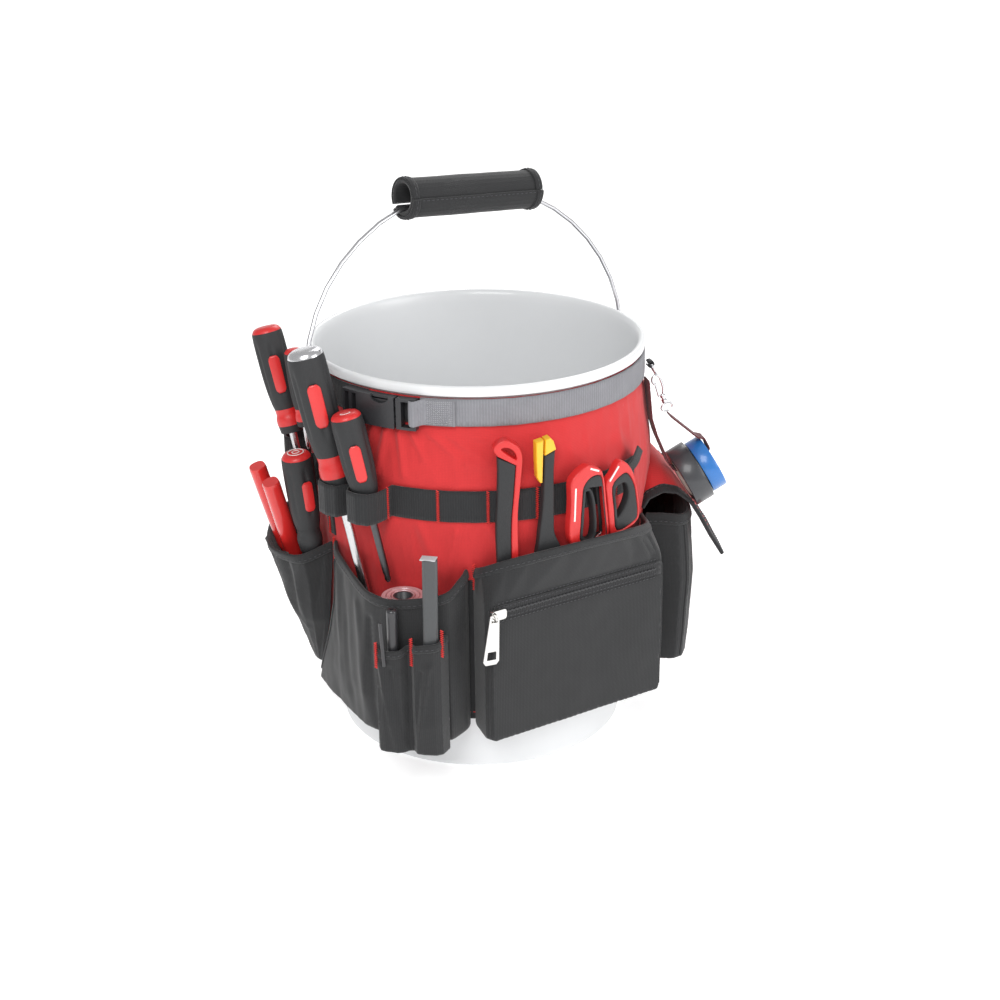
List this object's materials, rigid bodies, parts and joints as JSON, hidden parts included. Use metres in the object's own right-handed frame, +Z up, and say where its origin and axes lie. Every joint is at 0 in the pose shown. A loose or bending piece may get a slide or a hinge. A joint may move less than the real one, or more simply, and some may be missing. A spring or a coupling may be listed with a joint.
{
  "type": "tool bucket organizer",
  "caption": "Fabric tool organizer strapped around a pail, with outside pockets, a zip pocket, tool loops, a flap pocket and a tape hanger, holding hand tools.",
  "frame": {"origin": "centre of the pail's base", "axes": "+Z up the pail, -Y to the front, +X to the right seen from the front"},
  "size_m": [0.4306, 0.3843, 0.511],
  "materials": {
    "bail_steel": "bright wire",
    "black_fabric": "heavy woven nylon",
    "black_webbing": "flat woven webbing",
    "blue_tape": "vinyl tape",
    "buckle_plastic": "moulded plastic",
    "grey_tape": "vinyl tape",
    "grey_webbing": "ribbed woven webbing",
    "hook_steel": "plated steel",
    "maroon_webbing": "flat woven webbing",
    "pail_plastic": "smooth white plastic",
    "pen_plastic": "moulded plastic",
    "pencil_grey": "satin plastic",
    "red_black_grip": "two-colour moulded grip",
    "red_fabric": "heavy woven nylon",
    "red_grip": "dipped grip",
    "spool_metal": "tinned wire on a spool",
    "tool_grip": "moulded grip with coloured ends",
    "tool_steel": "ground steel",
    "wrap_fabric": "padded woven nylon",
    "yellow_plastic": "moulded plastic",
    "zip_metal": "cast and plated",
    "zip_nylon": "woven tape with a nylon coil"
  },
  "bodies": {
    "organizer": {"adjuster_strap": "black_webbing", "bucket_shell": "pail_plastic", "buckle_prongs": "buckle_plastic", "d_ring_tab": "black_webbing", "far_left_pocket": "black_fabric", "front_left_pocket": "black_fabric", "loop_band": "black_webbing", "pen_pockets": "black_fabric", "rear_loop_band": "black_webbing", "rear_pocket_left": "black_fabric", "rear_pocket_right": "black_fabric", "right_pocket": "black_fabric", "side_webbing": "black_webbing", "skirt": "red_fabric", "strap_end_patch": "grey_webbing", "top_strap": "grey_webbing", "zip_pocket": "black_fabric", "zipper_tape": "zip_nylon"},
    "bail": {"bail_wire": "bail_steel", "handle_wrap": "wrap_fabric"},
    "wrap_closure": {"wrap_flap": "wrap_fabric"},
    "buckle_socket_half": {"buckle_socket": "buckle_plastic"},
    "zip_slider": {"zipper_slider": "zip_metal"},
    "zip_pull": {"zipper_pull": "zip_metal"},
    "flap": {"pocket_flap": "red_fabric"},
    "tape_hanger": {"d_ring": "hook_steel", "snap_hook": "hook_steel", "tape_strap": "maroon_webbing"},
    "hook_gate_bar": {"hook_gate": "hook_steel"},
    "grey_roll": {"tape_roll_grey": "grey_tape"},
    "blue_roll": {"tape_roll_blue": "blue_tape"},
    "driver_1": {"screwdriver_1_handle": "tool_grip", "screwdriver_1_shank": "tool_steel"},
    "driver_2": {"screwdriver_2_handle": "tool_grip", "screwdriver_2_shank": "tool_steel"},
    "driver_3": {"screwdriver_3_handle": "tool_grip", "screwdriver_3_shank": "tool_steel"},
    "driver_4": {"screwdriver_4_handle": "tool_grip", "screwdriver_4_shank": "tool_steel"},
    "driver_5": {"screwdriver_5_handle": "tool_grip", "screwdriver_5_shank": "tool_steel"},
    "pliers": {"pliers_far_half": "red_grip"},
    "pliers_jaw": {"pliers_near_half": "red_grip"},
    "snips": {"snips_left_half": "red_black_grip"},
    "snips_blade": {"snips_right_half": "red_black_grip"},
    "stripper": {"stripper_handle": "red_black_grip", "stripper_blade": "tool_steel"},
    "knife": {"knife_handle": "tool_grip", "knife_blade": "tool_steel"},
    "knife_button": {"knife_release": "yellow_plastic"},
    "pen": {"marker_pen": "pen_plastic", "pen_clip": "pen_plastic"},
    "pencil": {"flat_pencil": "pencil_grey"},
    "spool": {"solder_spool": "spool_metal"}
  },
  "joints": [
    {"name": "bail_swing", "type": "hinge", "parent": "organizer", "child": "bail", "pos_m": [0, 0, 0.311], "axis": [-0.8192, -0.5736, 0], "range_deg": [-6, 10]},
    {"name": "wrap_closure_hinge", "type": "hinge", "parent": "bail", "child": "wrap_closure", "pos_m": [-0.01291, 0.04234, 0.47695], "axis": [0.8239, 0.5612, -0.0784], "range_deg": [0, 95]},
    {"name": "buckle_slide", "type": "hinge", "parent": "organizer", "child": "buckle_socket_half", "pos_m": [0, 0, 0.344], "axis": [0, 0, 1], "range_deg": [-12, 0]},
    {"name": "zip_run", "type": "slide", "parent": "organizer", "child": "zip_slider", "axis": [0.8572, 0.515, 0], "range_m": [0, 0.16]},
    {"name": "pull_hinge", "type": "hinge", "parent": "zip_slider", "child": "zip_pull", "pos_m": [0.00913, -0.19261, 0.17919], "axis": [-0.8525, -0.5122, 0.1045], "range_deg": [0, 150]},
    {"name": "flap_hinge", "type": "hinge", "parent": "organizer", "child": "flap", "pos_m": [0.1569, 0.01373, 0.262], "axis": [0.0872, -0.9962, 0], "range_deg": [0, 70]},
    {"name": "hanger_swing", "type": "hinge", "parent": "organizer", "child": "tape_hanger", "pos_m": [0.15363, -0.02709, 0.346], "axis": [0.1736, -0.9848, 0], "range_deg": [0, 58]},
    {"name": "gate_hinge", "type": "hinge", "parent": "tape_hanger", "child": "hook_gate_bar", "pos_m": [0.16249, -0.02553, 0.314], "axis": [-0.1736, 0.9848, 0], "range_deg": [0, 4]},
    {"name": "grey_roll_spin", "type": "hinge", "parent": "tape_hanger", "child": "grey_roll", "pos_m": [0.18514, -0.02153, 0.233], "axis": [0.8613, 0.1519, 0.4848], "continuous": true},
    {"name": "blue_roll_spin", "type": "hinge", "parent": "tape_hanger", "child": "blue_roll", "pos_m": [0.18514, -0.02153, 0.233], "axis": [0.8613, 0.1519, 0.4848], "continuous": true},
    {"name": "driver_1_lift", "type": "slide", "parent": "organizer", "child": "driver_1", "axis": [-0.2083, 0.1355, 0.9686], "range_m": [0, 0.1]},
    {"name": "driver_2_lift", "type": "slide", "parent": "organizer", "child": "driver_2", "axis": [-0.1982, 0.0504, 0.9789], "range_m": [0, 0.12]},
    {"name": "driver_3_lift", "type": "slide", "parent": "organizer", "child": "driver_3", "axis": [-0.2044, 0.0458, 0.9778], "range_m": [0, 0.09]},
    {"name": "driver_4_lift", "type": "slide", "parent": "organizer", "child": "driver_4", "axis": [-0.0987, -0.0481, 0.994], "range_m": [0, 0.05]},
    {"name": "driver_5_lift", "type": "slide", "parent": "organizer", "child": "driver_5", "axis": [-0.1005, 0.0266, 0.9946], "range_m": [0, 0.06]},
    {"name": "pliers_lift", "type": "slide", "parent": "organizer", "child": "pliers", "axis": [-0.1959, -0.2657, 0.944], "range_m": [0, 0.1]},
    {"name": "pliers_close", "type": "hinge", "parent": "pliers", "child": "pliers_jaw", "pos_m": [-0.16737, -0.03253, 0.15], "axis": [-0.873, -0.3912, -0.2912], "range_deg": [0, 5]},
    {"name": "snips_lift", "type": "slide", "parent": "organizer", "child": "snips", "axis": [0.0473, -0.0702, 0.9964], "range_m": [0, 0.11]},
    {"name": "snips_open", "type": "hinge", "parent": "snips", "child": "snips_blade", "pos_m": [0.11242, -0.11611, 0.18099], "axis": [-0.5572, 0.8261, 0.0847], "range_deg": [0, 5]},
    {"name": "stripper_lift", "type": "slide", "parent": "organizer", "child": "stripper", "axis": [0.0588, -0.0511, 0.997], "range_m": [0, 0.11]},
    {"name": "knife_lift", "type": "slide", "parent": "organizer", "child": "knife", "axis": [0.0493, -0.0523, 0.9974], "range_m": [0, 0.11]},
    {"name": "release_press", "type": "slide", "parent": "knife", "child": "knife_button", "axis": [0.9387, 0.3436, -0.0284], "range_m": [0, 0.001]},
    {"name": "pen_lift", "type": "slide", "parent": "organizer", "child": "pen", "axis": [0, 0, 1], "range_m": [0, 0.06]},
    {"name": "pencil_lift", "type": "slide", "parent": "organizer", "child": "pencil", "axis": [0, 0, 1], "range_m": [0, 0.08]},
    {"name": "spool_turn", "type": "hinge", "parent": "organizer", "child": "spool", "pos_m": [-0.06819, -0.15758, 0.164], "axis": [0, 0, 1], "continuous": true}
  ],
  "couplings": [
    {"joint": "hanger_swing", "follows": "flap_hinge", "ratio": 0.8}
  ]
}
